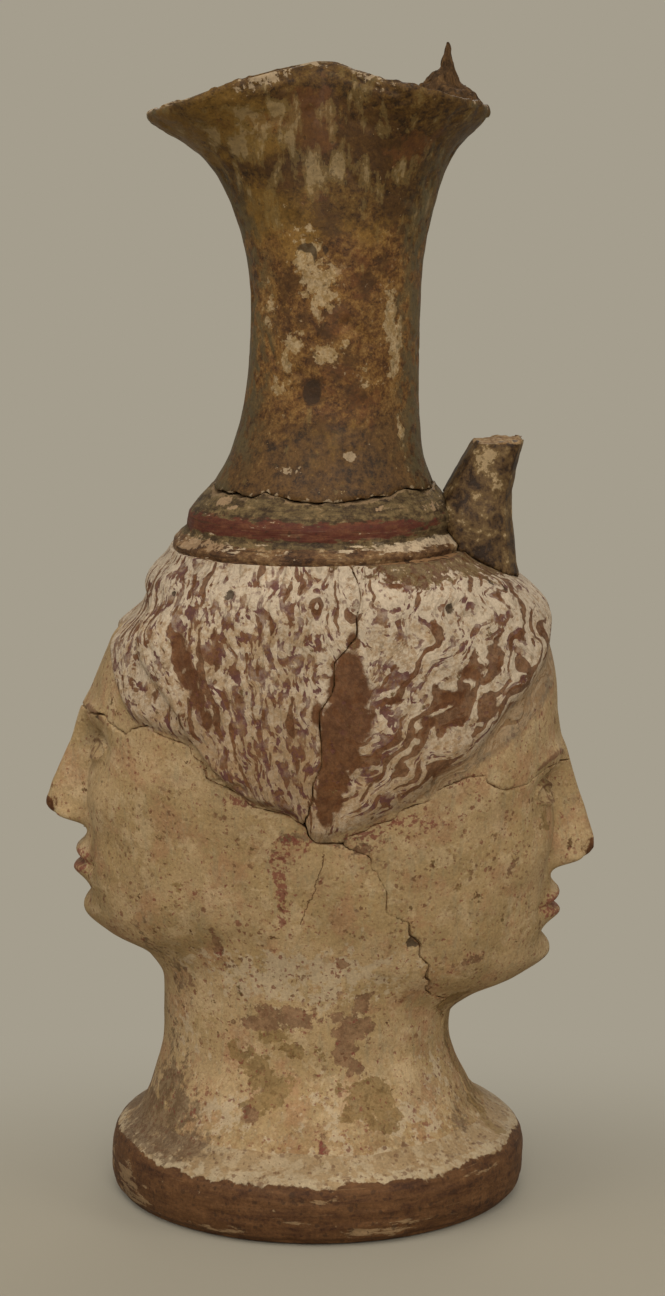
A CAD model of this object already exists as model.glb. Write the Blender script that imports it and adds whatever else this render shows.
import itertools
import math

import bmesh
import bpy
import numpy as np
from mathutils import Matrix, Vector
from mathutils.kdtree import KDTree


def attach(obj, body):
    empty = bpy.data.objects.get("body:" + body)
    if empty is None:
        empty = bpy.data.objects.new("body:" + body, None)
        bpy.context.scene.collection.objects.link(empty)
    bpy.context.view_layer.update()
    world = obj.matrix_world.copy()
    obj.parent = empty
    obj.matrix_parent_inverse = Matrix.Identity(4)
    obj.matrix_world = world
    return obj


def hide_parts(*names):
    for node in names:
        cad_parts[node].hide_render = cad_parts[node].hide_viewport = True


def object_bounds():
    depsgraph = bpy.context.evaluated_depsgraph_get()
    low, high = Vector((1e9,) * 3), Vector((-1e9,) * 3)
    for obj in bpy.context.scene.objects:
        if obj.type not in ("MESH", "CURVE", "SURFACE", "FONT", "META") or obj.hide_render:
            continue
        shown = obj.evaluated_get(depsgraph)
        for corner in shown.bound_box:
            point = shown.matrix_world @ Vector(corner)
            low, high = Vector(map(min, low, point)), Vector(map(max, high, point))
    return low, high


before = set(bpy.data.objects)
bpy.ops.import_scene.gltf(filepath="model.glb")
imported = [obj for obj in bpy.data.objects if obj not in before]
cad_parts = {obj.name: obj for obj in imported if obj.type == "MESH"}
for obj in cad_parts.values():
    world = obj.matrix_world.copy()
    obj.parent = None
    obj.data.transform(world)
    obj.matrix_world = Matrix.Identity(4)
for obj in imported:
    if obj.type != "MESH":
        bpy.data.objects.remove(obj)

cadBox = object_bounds()
millimetre = 0.001
fullTurn, quarterTurn = 2 * math.pi, math.pi / 2
print("frame loaded, nodes:", len(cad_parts))


# Curves, bells and grain, all on arrays of points in millimetres

def smoothCurve(knots):
    at, value = np.array(knots, float).T
    span = np.diff(at)
    slope = np.diff(value) / span
    before, after = slope[:-1], slope[1:]
    same = before * after > 0
    inner = np.where(same, 2 * before * after / np.where(same, before + after, 1), 0)
    tangent = np.concatenate((slope[:1], inner, slope[-1:]))

    def curve(x):
        x = np.clip(x, at[0], at[-1])
        i = np.clip(np.searchsorted(at, x) - 1, 0, len(span) - 1)
        t = (x - at[i]) / span[i]
        rest = 1 - t
        return (value[i] * (1 + 2 * t) * rest * rest + value[i + 1] * (3 - 2 * t) * t * t
                + span[i] * t * rest * (tangent[i] * rest - tangent[i + 1] * t))
    return curve


def aroundCurve(knots):
    at, value = np.array(knots, float).T
    return lambda degrees: np.interp(np.mod(degrees - at[0], 360) + at[0],
                                     np.append(at, at[0] + 360), np.append(value, value[0]))


def mix(low, high, share):
    return low + (high - low) * share


def portion(low, high, x):
    return np.clip((x - low) / (high - low), 0, 1)


def smooth(low, high, x):
    t = portion(low, high, x)
    return t * t * (3 - 2 * t)


def bell(x, half):
    return np.exp(-(x * x) / (half * half))


def arch(x, half):
    return np.clip(1 - (x / half) ** 2, 0, 1)


def grain(points, size, seed):
    # smooth noise from -1 to 1, the same in every run
    place = points / size
    cell = np.floor(place).astype(np.int64)
    part = place - cell
    part = part * part * (3 - 2 * part)
    total = np.zeros(len(points))
    for corner in itertools.product((0, 1), repeat=3):
        x, y, z = (cell + corner).T
        mixed = (x * 73856093) ^ (y * 19349663) ^ (z * 83492791) ^ (seed * 2654435761 + 97)
        mixed = (mixed ^ (mixed >> 13)) * 1274126177 & 0xFFFFFFFF
        height = ((mixed ^ (mixed >> 16)) & 0xFFFF) / 32767.5 - 1
        total += height * np.prod(np.where(corner, part, 1 - part), axis=1)
    return total


def layered(points, size, seed, layers=3):
    return sum(grain(points, size / 2 ** i, seed + i) / 2 ** i for i in range(layers))


def unit(vectors):
    return vectors / np.linalg.norm(vectors, axis=1)[:, None]


def ringPoints(angle, radius, height=0.0):
    return np.column_stack((radius * np.cos(angle), radius * np.sin(angle), height + 0 * angle))


def degreesOf(angle):
    return np.degrees(np.mod(angle, fullTurn))


def turnFrom(degrees, angle):
    return np.mod(angle - math.radians(degrees) + math.pi, fullTurn) - math.pi


# The plain shape of the jug, as the solids have it

jug = {
    "footTop": 12.0, "footReach": 33.0, "flare": 17.4, "waist": 29.0, "collarFoot": 116.3,
    "collarReach": 25.6, "neckFoot": 127.0, "mouthFoot": 160.0, "unit": 20.0, "jawRise": 9.0, "gap": 0.3,
    "side": [(12, 33), (17.4, 29.6), (29, 23), (38, 23), (60, 26.4), (86, 29.2), (106, 28), (116.3, 25.6)],
    "fullness": [(12, 2), (29, 2), (60, 2.25), (86, 2.35), (116.3, 2)],
}
leftHead = {
    "chin": 47.0, "throat": 38.0, "crown": 106.0, "flareReach": 30.2, "waistReach": 27.6, "throatReach": 27.3,
    "mouthReach": 40.6, "browReach": 39.8, "foreheadReach": 36.6, "crownReach": 29.6,
}
rightHead = {
    "chin": 39.0, "throat": 32.0, "crown": 105.5, "flareReach": 27.8, "waistReach": 23.7, "throatReach": 24.0,
    "mouthReach": 40.9, "browReach": 42.6, "foreheadReach": 42.4, "crownReach": 38.6,
}


def headOutline(head):
    under = [(head["chin"] + up * jug["unit"], mix(head["throatReach"], head["mouthReach"], reach))
             for up, reach in ((-0.2, 0.2), (0, 0.7), (0.2, 0.93))]
    return smoothCurve([
        (jug["footTop"], jug["footReach"]), (jug["flare"], head["flareReach"]),
        (jug["waist"], head["waistReach"]), (head["throat"], head["throatReach"]), *under,
        (head["chin"] + 0.652 * jug["unit"], head["mouthReach"]),
        (head["chin"] + 2.0 * jug["unit"], head["browReach"]),
        (head["chin"] + 2.6 * jug["unit"], head["foreheadReach"]),
        (head["crown"], head["crownReach"]), (jug["collarFoot"], jug["collarReach"]),
    ])


leftOutline, rightOutline = headOutline(leftHead), headOutline(rightHead)
sideOutline, fullness = smoothCurve(jug["side"]), smoothCurve(jug["fullness"])


def bodyRadius(angle, height):
    isLeft = np.cos(angle) < 0
    toFace, toSide = np.abs(np.cos(angle)), np.abs(np.sin(angle))
    reach = np.zeros_like(height)
    for side, head, outline in ((isLeft, leftHead, leftOutline), (~isLeft, rightHead, rightOutline)):
        climb = jug["jawRise"] * toSide ** 2 * smooth(jug["waist"], head["throat"], height)
        reach[side] = outline((height - climb)[side])
    power = fullness(height)
    return ((toFace / reach) ** power + (toSide / sideOutline(height)) ** power) ** (-1 / power)


# The two faces share one plain design, in head units across and up from the chin

face = {
    # across, up, half width, half height, rise
    "forms": [
        (0.4, 2.02, 0.3, 0.12, 0.055), (0.47, 1.75, 0.25, 0.16, -0.13), (0.17, 1.76, 0.09, 0.15, -0.08),
        (0.46, 1.71, 0.17, 0.1, 0.135), (0.58, 1.27, 0.3, 0.26, 0.07), (0.36, 0.98, 0.12, 0.25, -0.035),
        (0.165, 1.06, 0.07, 0.075, 0.13), (0, 0.62, 0.5, 0.3, 0.06), (0.37, 0.655, 0.07, 0.06, -0.045),
        (0, 0.86, 0.045, 0.07, -0.03), (0, 0.385, 0.26, 0.08, -0.075), (0, 0.16, 0.25, 0.19, 0.1),
        (0.105, 0.985, 0.045, 0.035, -0.07), (0.245, 1.1, 0.03, 0.09, -0.03)],
    # height, then the reach and the half width of the nose there
    "ridge": [
        (0.93, 0), (0.98, 0.08), (1.03, 0.24), (1.09, 0.355), (1.16, 0.39), (1.26, 0.365), (1.45, 0.295),
        (1.65, 0.22), (1.85, 0.15), (2.02, 0.09), (2.2, 0.035), (2.45, 0)],
    "ridgeHalf": [
        (0.93, 0.2), (1.06, 0.26), (1.18, 0.26), (1.4, 0.2), (1.8, 0.16), (2.05, 0.24), (2.45, 0.45)],
    # level, half width, half height, rise, bow
    "lips": [
        (0.745, 0.38, 0.065, 0.075, 0.55), (0.56, 0.31, 0.075, 0.085, -0.5), (0.652, 0.4, 0.035, -0.065, 0)],
    "mouth": {"up": 0.655, "half": 0.4},
    "eye": {"across": 0.46, "up": 1.71, "half": 0.215, "upper": 0.095, "lower": 0.06, "tilt": 0.02,
            "upperLid": 0.034, "lowerLid": 0.024, "fold": 0.03},
    "iris": {"up": 1.73, "radius": 0.07},
    "brow": {"across": 0.42, "up": 2.0, "half": 0.36, "rise": 0.09, "ridge": 0.016},
    # half width, up, half height, strength
    "rubbed": [(0.12, 1.14, 0.1, 0.95), (0.22, 0.13, 0.1, 0.62), (0.2, 2.25, 0.12, 0.5)],
}
noseRidge, noseHalf = smoothCurve(face["ridge"]), smoothCurve(face["ridgeHalf"])


def facePlace(angle, height, radius):
    chin = np.where(np.cos(angle) < 0, leftHead["chin"], rightHead["chin"])
    return radius * np.sin(angle) / jug["unit"], (height - chin) / jug["unit"]


def eyeLines(across):
    # heights of the lids over a point, and how far that point is inside the corners
    eye = face["eye"]
    along = (np.abs(across) - eye["across"]) / eye["half"]
    bow = np.sqrt(arch(along, 1))
    middle = eye["up"] + eye["tilt"] * along
    return middle + eye["upper"] * bow, middle - eye["lower"] * bow, smooth(1.12, 0.92, np.abs(along))


def browLine(wide):
    brow = face["brow"]
    return brow["up"] + brow["rise"] * arch(wide - brow["across"], brow["half"])


def faceRise(across, up):
    wide = np.abs(across)
    rise = noseRidge(up) * arch(wide, noseHalf(up)) ** 2
    for x, y, halfWidth, halfHeight, height in face["forms"]:
        rise = rise + height * bell(wide - x, halfWidth) * bell(up - y, halfHeight)
    for level, halfWidth, halfHeight, height, bow in face["lips"]:
        rise = rise + height * arch(across, halfWidth) * bell(up - level + bow * across ** 2, halfHeight)
    upper, lower, inside = eyeLines(across)
    eye, brow = face["eye"], face["brow"]
    lids = (eye["upperLid"] * bell(up - upper - 0.012, 0.02) + eye["lowerLid"] * bell(up - lower + 0.01, 0.018)
            - eye["fold"] * bell(up - upper - 0.065, 0.024))
    ridge = bell(up - browLine(wide), 0.04) * smooth(0.86, 0.7, wide) * smooth(0.08, 0.2, wide)
    return rise + inside * lids + brow["ridge"] * ridge


# Hair: (share of the quarter turn from face to side, share of the hair's drop)

hair = {
    "tip": 68.5, "front": 102.0, "band": 1.2, "thick": 2.4, "edge": 2.6, "parting": 5.0, "seamReach": 29.2,
    "fade": 5.2, "partingDepth": 0.45, "strandWidth": 2.2, "strandDepth": 0.3,
    "flowWidth": 46, "flowReach": 34, "flowLift": 14, "flowShare": 0.7, "fan": 0.006,
    "leftLine": [(0, 1), (0.12, 0.94), (0.23, 0.83), (0.31, 0.7), (0.38, 0.59), (0.48, 0.55), (0.58, 0.49),
                 (0.66, 0.34), (0.77, 0.21), (0.92, 0.13), (1, 0)],
    "leftMass": [(0, 1.18), (0.2, 1.16), (0.29, 1.08), (0.39, 0.89), (0.48, 0.76), (0.54, 0.64), (0.6, 0.47),
                 (0.67, 0.33), (0.77, 0.21), (0.92, 0.13), (1, 0)],
    "rightLine": [(0, 1), (0.09, 0.95), (0.2, 0.85), (0.29, 0.75), (0.39, 0.62), (0.47, 0.46), (0.6, 0.31),
                  (0.71, 0.17), (0.86, 0.05), (1, 0)],
    "rightPaint": [(0, 0.87), (0.1, 0.76), (0.2, 0.65), (0.34, 0.49), (0.47, 0.36), (0.57, 0.26),
                   (0.68, 0.19), (0.81, 0.11), (1, 0)],
    "leftFlow": [(-0.2, 1), (0, 0.97), (0.13, 0.9), (0.21, 0.78), (0.33, 0.67), (0.47, 0.6), (0.64, 0.53),
                 (0.76, 0.46), (0.89, 0.38), (1.08, 0.25), (1.3, 0.1), (1.5, 0)],
    "rightFlow": [(-0.2, 1), (0, 0.97), (0.05, 0.88), (0.17, 0.71), (0.31, 0.58), (0.46, 0.47), (0.62, 0.37),
                  (0.75, 0.28), (0.9, 0.18), (1.1, 0.08), (1.35, 0.02), (1.5, 0)],
}
hairCurves = {key: smoothCurve(knots) for key, knots in hair.items() if isinstance(knots, list)}


def hairHeight(key, quarter):
    return mix(hair["tip"], hair["front"], hairCurves[key](quarter))


def hairField(angle):
    # heights of the hairline and of the edge of the full mass, and the share of the quarter turn
    isLeft = np.cos(angle) < 0
    quarter = np.arcsin(np.clip(np.abs(np.sin(angle)), 0, 1)) / quarterTurn
    right = hairHeight("rightLine", quarter)
    line, mass = (np.where(isLeft, hairHeight(key, quarter), right) for key in ("leftLine", "leftMass"))
    return line, mass, quarter


def hairRise(angle, height):
    line, mass, quarter = hairField(angle)
    soft = np.where(np.cos(angle) > 0, 2.0, 0.0) * smooth(1.0, 0.8, quarter)
    band = hair["band"] * smooth(line - soft, line + hair["edge"] + soft, height)
    thick = (hair["thick"] - hair["band"]) * smooth(mass - soft, mass + hair["edge"] + soft, height)
    fromSeam = (1 - quarter) * quarterTurn * hair["seamReach"]
    parting = 1 - hair["partingDepth"] * bell(fromSeam, hair["parting"])
    return (band + thick) * parting * smooth(jug["collarFoot"], jug["collarFoot"] - hair["fade"], height)


def strandPlace(angle, height):
    # millimetres across the strands from the seam between the heads, and along them from the collar
    isLeft = np.cos(angle) < 0
    quarter = hairField(angle)[2]
    share = (height - hair["tip"]) / (hair["front"] - hair["tip"])
    edge = np.where(isLeft, hairCurves["leftFlow"](share), hairCurves["rightFlow"](share))
    width = np.maximum(hair["flowWidth"] * (1 - edge), 3.0)
    across = np.sqrt(hair["flowReach"] * width) * (1 - quarter) / np.maximum(1 - edge, 0.07)
    # the right locks run more in line with the hairline
    level = hair["flowReach"] * (edge - quarter) + hair["flowLift"]
    across = np.where(isLeft, -across, mix(across, level, hair["flowShare"] * smooth(1.0, 0.84, quarter)))
    return across, (jug["collarFoot"] - height) * (1 + hair["fan"] * np.abs(across))


def skinRadius(angle, height):
    plain = bodyRadius(angle, height)
    rise = faceRise(*facePlace(angle, height, plain)) * jug["unit"] * np.abs(np.cos(angle))
    return plain + rise + hairRise(angle, height)


def spotField(angle, height, radius, spots):
    # spots are (degrees, height, half width, half height, strength)
    total = np.zeros_like(height)
    for degrees, level, halfWidth, halfHeight, strength in spots:
        reach = np.hypot(turnFrom(degrees, angle) * radius / halfWidth, (height - level) / halfHeight)
        total = np.maximum(total, strength * np.exp(-reach ** 2 * 0.7))
    return total


def withFarSide(spots, turn, lift):
    # nothing is known of the far side, so it gets a like scatter in other places
    return spots + [(360 - d + turn, h + lift, w, t, s) for d, h, w, t, s in spots]


# Meshes

def readVectors(mesh, key):
    flat = np.empty(len(mesh.vertices) * 3, np.float32)
    mesh.vertices.foreach_get(key, flat)
    return flat.reshape(-1, 3).astype(float)


def readPoints(mesh):
    return readVectors(mesh, "co") / millimetre


def movePoints(mesh, points):
    mesh.vertices.foreach_set("co", (points * millimetre).astype(np.float32).ravel())
    mesh.update()


def keepFields(mesh, **fields):
    for name, values in fields.items():
        layer = mesh.attributes.new(name, "FLOAT", "POINT")
        layer.data.foreach_set("value", np.asarray(values, np.float32))


def newMesh(name, form):
    mesh = bpy.data.meshes.new(name)
    form.to_mesh(mesh)
    form.free()
    return mesh


def newObject(name, data):
    thing = bpy.data.objects.new(name, data)
    bpy.context.scene.collection.objects.link(thing)
    return thing


def settle(piece, node, material):
    # smooth shading, finish and place in the frame
    mesh = piece.data
    mesh.polygons.foreach_set("use_smooth", np.ones(len(mesh.polygons), bool))
    mesh.materials.clear()
    mesh.materials.append(material)
    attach(piece, "root")
    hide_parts(node)
    print("piece", piece.name, "triangles", sum(len(polygon.vertices) - 2 for polygon in mesh.polygons))


def fineCopy(name, node, voxel):
    # the solid's own mesh, merged and laid out again as fine even clay
    form = bmesh.new()
    form.from_mesh(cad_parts[node].data)
    bmesh.ops.remove_doubles(form, verts=form.verts, dist=1e-6)
    piece = newObject(name, newMesh(name, form))
    remesh = piece.modifiers.new("fine clay", "REMESH")
    remesh.mode = "VOXEL"
    remesh.voxel_size = voxel * millimetre * 1
    graph = bpy.context.evaluated_depsgraph_get()
    fine = bpy.data.meshes.new_from_object(piece.evaluated_get(graph))
    piece.modifiers.clear()
    piece.data = fine
    return piece


def spunRing(name, sizes):
    # a plain ring, spun from a standing circle; its two turns are read back as angle and share
    form = bmesh.new()
    circle = bmesh.ops.create_circle(form, segments=sizes["along"], radius=1.0)
    stand = Matrix.Translation((3, 0, 0)) @ Matrix.Rotation(quarterTurn, 4, "X")
    bmesh.ops.transform(form, matrix=stand, verts=circle["verts"])
    bmesh.ops.spin(form, geom=form.verts[:] + form.edges[:], cent=(0, 0, 0), axis=(0, 0, 1),
                   angle=fullTurn, steps=sizes["around"], use_merge=True)
    bmesh.ops.remove_doubles(form, verts=form.verts, dist=1e-5)
    bmesh.ops.recalc_face_normals(form, faces=form.faces)
    mesh = newMesh(name, form)
    x, y, z = readVectors(mesh, "co").T
    turn = np.arctan2(z, np.hypot(x, y) - 3)
    share = np.mod(turn + quarterTurn, fullTurn) / fullTurn  # from the underside outwards
    return newObject(name, mesh), np.arctan2(y, x), share


def ringParts(share, ends, *parts):
    # the parts of a ring, one after the other, each up to its end
    return np.select([share < end for end in ends], parts[:-1], parts[-1])


# Nodes. A Value is a socket to reckon with: sums and products of it become math nodes.

class Value:
    def __init__(self, tree, socket):
        self.tree, self.socket = tree, socket

    def __add__(self, other):
        return calc("ADD", self, other)

    def __sub__(self, other):
        return calc("SUBTRACT", self, other)

    def __rsub__(self, other):
        return calc("SUBTRACT", other, self)

    def __mul__(self, other):
        return calc("MULTIPLY", self, other)

    def __truediv__(self, other):
        return calc("DIVIDE", self, other)

    def __rtruediv__(self, other):
        return calc("DIVIDE", other, self)


def tone(red, green, blue):
    def linear(value):
        value /= 255
        return value / 12.92 if value <= 0.04045 else ((value + 0.055) / 1.055) ** 2.4
    return (linear(red), linear(green), linear(blue), 1.0)


def tones(**rows):
    return {name: tone(*row) for name, row in rows.items()}


def add(tree, kind, inputs=None, **settings):
    node = tree.nodes.new(kind)
    for key, value in settings.items():
        setattr(node, key, value)
    for key, value in (inputs or {}).items():
        if isinstance(value, Value):
            tree.links.new(value.socket, node.inputs[key])
        else:
            node.inputs[key].default_value = value
    return node


def made(kind, output, inputs, **settings):
    # a node beside the values that feed it, and its output or outputs
    tree = next(value.tree for value in inputs.values() if isinstance(value, Value))
    outputs = add(tree, kind, inputs, **settings).outputs
    if isinstance(output, tuple):
        return [Value(tree, outputs[name]) for name in output]
    return Value(tree, outputs[output])


def calc(operation, first, second=0.0, third=0.0, clamp=False):
    return made("ShaderNodeMath", 0, {0: first, 1: second, 2: third}, operation=operation, use_clamp=clamp)


def most(first, *others):
    for other in others:
        first = calc("MAXIMUM", first, other)
    return first


def blend(mask, under, over, mode="MIX"):
    return made("ShaderNodeMix", 2, {0: mask, 6: under, 7: over}, data_type="RGBA", blend_type=mode)


def ramp(value, low, high, first=0.0, last=1.0):
    return made("ShaderNodeMapRange", "Result", {"Value": value, "From Min": low, "From Max": high,
                "To Min": first, "To Max": last}, interpolation_type="SMOOTHSTEP")


def noise(place, scale, detail, roughness=0.55, distortion=0.0):
    return made("ShaderNodeTexNoise", "Fac", {"Vector": place, "Scale": scale, "Detail": detail,
                "Roughness": roughness, "Distortion": distortion})


def stretched(place, scale, offset=(0, 0, 0)):
    return made("ShaderNodeMapping", "Vector", {"Vector": place, "Scale": scale, "Location": offset})


def heightOf(place):
    return made("ShaderNodeSeparateXYZ", "Z", {0: place})


def field(place, name, output="Fac"):
    return Value(place.tree, add(place.tree, "ShaderNodeAttribute", attribute_name=name).outputs[output])


def coordinates(tree, kind):
    return Value(tree, add(tree, "ShaderNodeTexCoord").outputs[kind])


def emptyTree(owner):
    owner.use_nodes = True
    owner.node_tree.nodes.clear()
    return owner.node_tree


def newGroup(name, work, outputs, **inputs):
    # inputs of None are vectors, the others numbers; work turns them into the outputs
    group = bpy.data.node_groups.new(name, "ShaderNodeTree")
    for label, value in inputs.items():
        kind = "NodeSocketVector" if value is None else "NodeSocketFloat"
        socket = group.interface.new_socket(label, in_out="INPUT", socket_type=kind)
        if value is not None:
            socket.default_value = value
    for label in outputs:
        group.interface.new_socket(label, in_out="OUTPUT", socket_type="NodeSocketFloat")
    given = add(group, "NodeGroupInput").outputs
    results = work(*(Value(group, given[label]) for label in inputs))
    add(group, "NodeGroupOutput", dict(zip(outputs, results)))
    return group


def use(group, **inputs):
    tree = inputs["Vector"].tree
    sockets = add(tree, "ShaderNodeGroup", inputs, node_tree=group).outputs
    outputs = [Value(tree, socket) for socket in sockets]
    return outputs if len(outputs) > 1 else outputs[0]


# Shared effects. Vectors are in millimetres.

def tornPatches(spread, vector, size, tear, softness):
    # a soft field, such as a spot, gets the crisp torn edge that flaked slip has
    torn = noise(vector, 1.0 / size, 7, 0.64) - 0.5
    return [ramp(spread + torn * (tear * 3.0), 0.5 - softness, softness + 0.5)]


def scatteredGrains(vector, spacing, radius, share):
    # dirt, pits and grit
    bent = made("ShaderNodeTexNoise", "Color", {"Vector": vector, "Scale": 1.6, "Detail": 4.0})
    pushed = made("ShaderNodeVectorMath", 0, {0: vector, 1: bent}, operation="ADD")
    distance, cell = made("ShaderNodeTexVoronoi", ("Distance", "Color"),
                          {"Vector": pushed, "Scale": 1.0 / spacing})
    chance, bulk = made("ShaderNodeSeparateColor", ("Red", "Green"), {"Color": cell})
    size = radius * (bulk + noise(vector, 2.4, 3))
    return [ramp(distance * spacing / size, 1.0, 0.6) * calc("LESS_THAN", chance, share)]


def wornEdge(distance, vector, width):
    # clay laid bare beside a broken or rubbed edge, from the distance to that edge
    reach = width * ramp(noise(vector, 0.7, 5, 0.62), 0.42, 0.72, 0.0, 2.4)
    return [ramp(distance / most(reach, 0.01), 1.0, 0.7)]


def fineTooth(vector, grit):
    # the fine tooth of clay and slip, as a height and a faint change of tone
    fine, broad = noise(vector, 1.0 / grit, 5, 0.7), noise(vector, 0.16, 3, 0.5)
    return [fine + broad * 0.6, fine * 0.7 + broad * 0.3]


def turnedStreaks(vector, cover):
    # streaks that a turning brush or sponge leaves round the jug
    low = 0.9 - cover
    return [ramp(noise(stretched(vector, (0.07, 0.07, 1.5)), 1.0, 6, 0.6, 0.3), low, low + 0.12)]


def cloudyLevel(vector, size):
    # cloudy, with crisp small detail, for tones that flake one under the other
    scale = 1.0 / size
    level = noise(vector, scale, 8, 0.68, 0.25) * 0.66 + noise(vector, scale * 3.3, 6, 0.7) * 0.34
    return [(level - 0.5) * 3.6 + 0.5]


def combedLocks(strand, vector, wave):
    # worn locks that follow the comb, as short dashes, wider worm-like marks and fine scratches
    slow, quick = noise(vector, 0.17, 0, 0.5) - 0.5, noise(vector, 0.45, 1, 0.5) - 0.5
    x, y, z = made("ShaderNodeSeparateXYZ", ("X", "Y", "Z"), {0: strand})
    across = x + (slow * 7.0 + quick * 1.5) * wave
    flow = made("ShaderNodeCombineXYZ", 0, {"X": across, "Y": y, "Z": z})
    dashes = noise(stretched(flow, (0.62, 0.23, 1)), 1.0, 2, 0.5)
    small = noise(stretched(flow, (1.1, 0.42, 1), (9, 1, 6)), 1.0, 2, 0.5)
    broken = noise(vector, 0.5, 3, 0.6) - 0.5
    comb = calc("COSINE", across * (2 * math.pi / 2.3)) * 0.12
    worms = noise(stretched(flow, (0.26, 0.14, 1), (4, 9, 3)), 1.0, 3, 0.55) + comb
    scratches = noise(stretched(flow, (1.9, 0.2, 1), (7, 3, 0)), 1.0, 4, 0.62)
    return [calc("MULTIPLY_ADD", broken, 0.5, most(dashes, small - 0.02)),
            calc("MULTIPLY_ADD", broken, 0.25, worms), scratches]


patches = newGroup("torn patches", tornPatches, ["Mask"],
                   Field=0.0, Vector=None, Size=2.0, Tear=0.5, Softness=0.05)
specks = newGroup("specks", scatteredGrains, ["Mask"], Vector=None, Spacing=2.0, Radius=0.3, Share=0.4)
edgeWear = newGroup("edge wear", wornEdge, ["Mask"], Distance=9.0, Vector=None, Width=0.5)
clayGrain = newGroup("clay grain", fineTooth, ["Height", "Tone"], Vector=None, Grit=0.5)
brushStreaks = newGroup("brush streaks", turnedStreaks, ["Mask"], Vector=None, Cover=0.5)
mottle = newGroup("mottle", cloudyLevel, ["Level"], Vector=None, Size=3.0)
strands = newGroup("hair strands", combedLocks, ["Dashes", "Worms", "Scratch"],
                   Strand=None, Vector=None, Wave=1.0)
print("shared effects made")


# Materials

def newMaterial(name, grit=0.5):
    material = bpy.data.materials.new(name)
    place = stretched(coordinates(emptyTree(material), "Object"), (1000, 1000, 1000))  # to millimetres
    return material, place, *use(clayGrain, Vector=place, Grit=grit)


def finishMaterial(colour, roughness, height, strength, distance, specular=0.2):
    bump = made("ShaderNodeBump", "Normal",
                {"Height": height, "Strength": strength, "Distance": distance * millimetre})
    shader = made("ShaderNodeBsdfPrincipled", "BSDF", {"Base Color": colour, "Roughness": roughness,
                  "Normal": bump, "Specular IOR Level": specular})
    add(colour.tree, "ShaderNodeOutputMaterial", {"Surface": shader})


def toned(colour, value, low, high):
    # the fine grain darkens and lightens whatever lies under it
    tint = ramp(value, 0.3, 0.7, low, high)
    shade = made("ShaderNodeCombineColor", 0, {"Red": tint, "Green": tint, "Blue": tint})
    return blend(1.0, colour, shade, "MULTIPLY")


def coated(colour, *coats):
    # each coat is laid over the last as (tone, mask, cover)
    for over, mask, cover in coats:
        colour = blend(calc("MULTIPLY", mask, cover), colour, over)
    return colour


def torn(place, name, size, tear, softness):
    return use(patches, Field=field(place, name), Vector=place, Size=size, Tear=tear, Softness=softness)


def specked(place, spacing, radius, share):
    return use(specks, Vector=place, Spacing=spacing, Radius=radius, Share=share)


def mottled(place, size, offset=None):
    return use(mottle, Vector=stretched(place, (1, 1, 1), offset) if offset else place, Size=size)


def flecked(place, size, level, softness, offset=(0, 0, 0)):
    # crisp islands where a fine noise rises over a level
    fine = noise(stretched(place, (1 / size, 1 / size, 1 / size), offset), 1.0, 6, 0.66, 0.2)
    return ramp(fine, level, level + softness)


def stepped(rows, softness=0.035):
    # rows of (level, red, green, blue), as flat steps with short passages between them
    stops = []
    for (low, *row), high in zip(rows, [row[0] for row in rows[1:]] + [1.0]):
        stops += [(low + softness, *row), (high, *row)]
    return stops


def layTones(level, rows):
    node = add(level.tree, "ShaderNodeValToRGB", {"Fac": level})
    marks = node.color_ramp.elements
    while len(marks) < len(rows):
        marks.new(0.5)
    for mark, (at, *row) in zip(marks, rows):
        mark.position = at
        mark.color = tone(*row)
    return Value(level.tree, node.outputs["Color"])


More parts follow.
